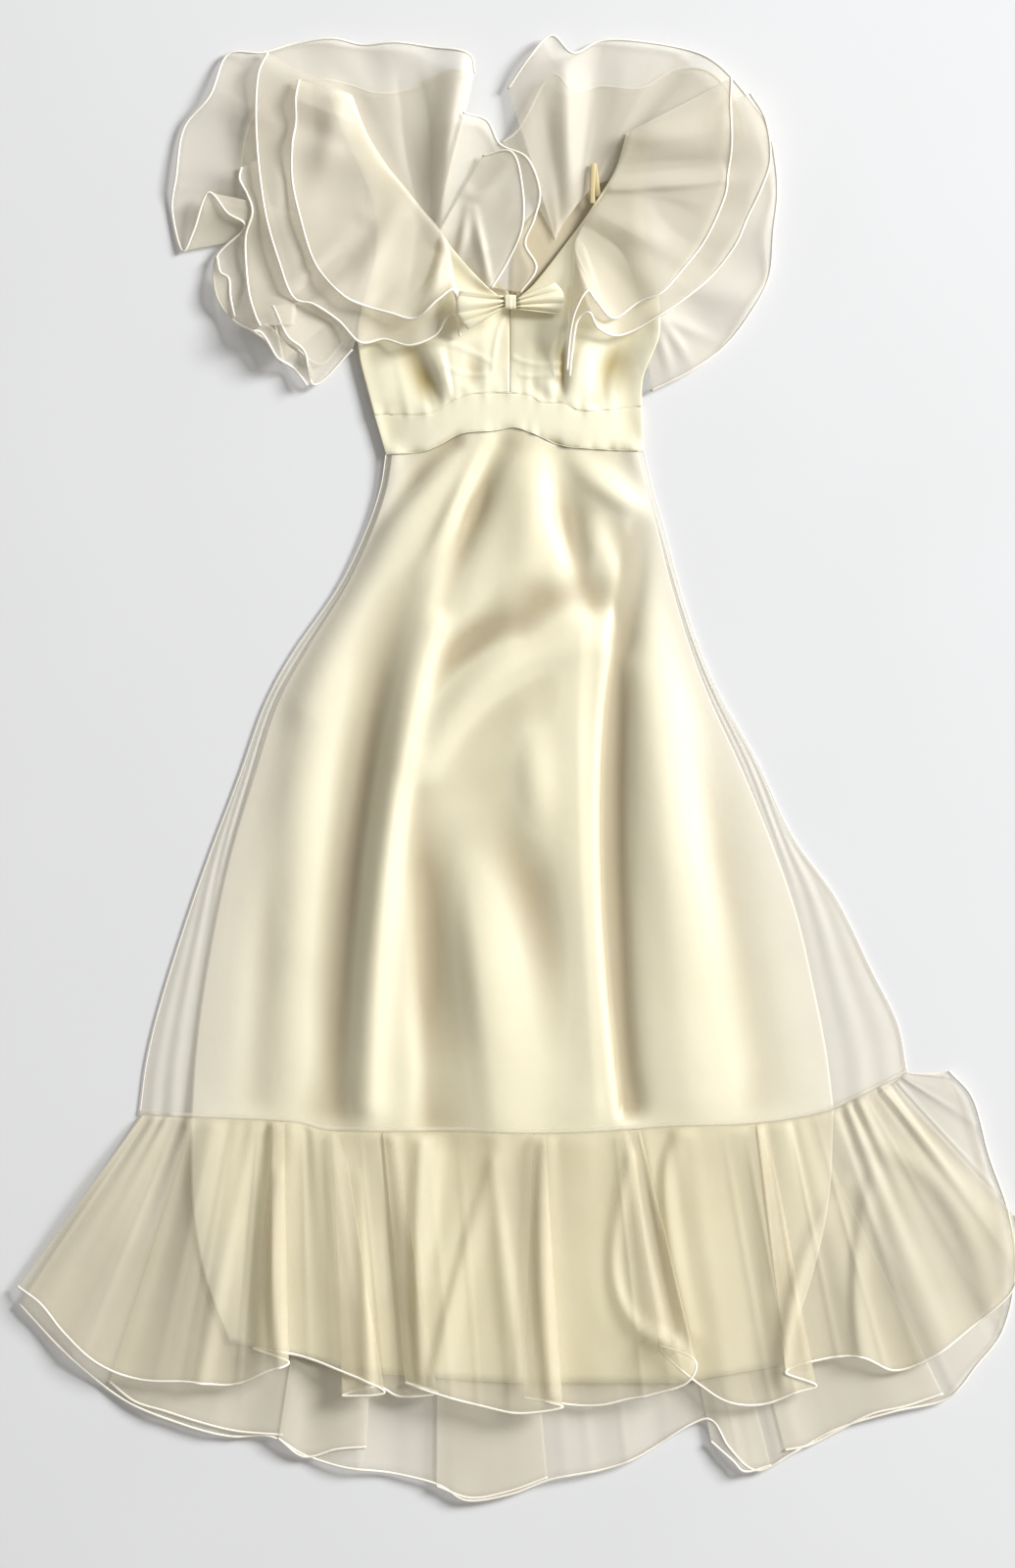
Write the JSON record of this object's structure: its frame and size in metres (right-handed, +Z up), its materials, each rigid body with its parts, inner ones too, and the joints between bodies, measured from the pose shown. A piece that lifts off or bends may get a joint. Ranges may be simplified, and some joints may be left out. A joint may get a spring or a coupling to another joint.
{
  "type": "evening gown",
  "caption": "Long ivory satin evening gown with a sheer overskirt, gathered hem flounce, ruffled deep neckline and a small bow, laid out flat.",
  "frame": {"origin": "on the surface the gown lies on, under the middle of the midriff", "axes": "+Z up from the surface, +Y towards the neck, +X to the right as seen from above"},
  "size_m": [1.1771, 1.716, 0.0477],
  "materials": {
    "satin": "soft ivory satin",
    "organza": "sheer ivory organza"
  },
  "bodies": {
    "root": {"skirt_back": "organza", "flounce_back": "organza", "midriff_back": "satin", "bodice_back_left": "satin", "bodice_back_right": "satin", "ruffle_upper_back_right": "organza", "ruffle_lower_back_right": "organza", "ruffle_upper_back_left": "organza", "ruffle_lower_back_left": "organza", "ruffle_lower_inner_left": "organza", "ruffle_upper_inner_left": "organza", "hanger_loop": "satin", "underskirt_back": "satin", "underskirt_front": "satin", "skirt_front": "organza", "flounce_front": "organza", "midriff_front": "satin", "bodice_front_left": "satin", "bodice_front_right": "satin", "ruffle_lower_front_right": "organza", "ruffle_upper_front_right": "organza", "ruffle_lower_front_left": "organza", "ruffle_upper_front_left": "organza", "bow_left": "satin", "bow_right": "satin", "bow_knot": "satin"}
  },
  "joints": []
}
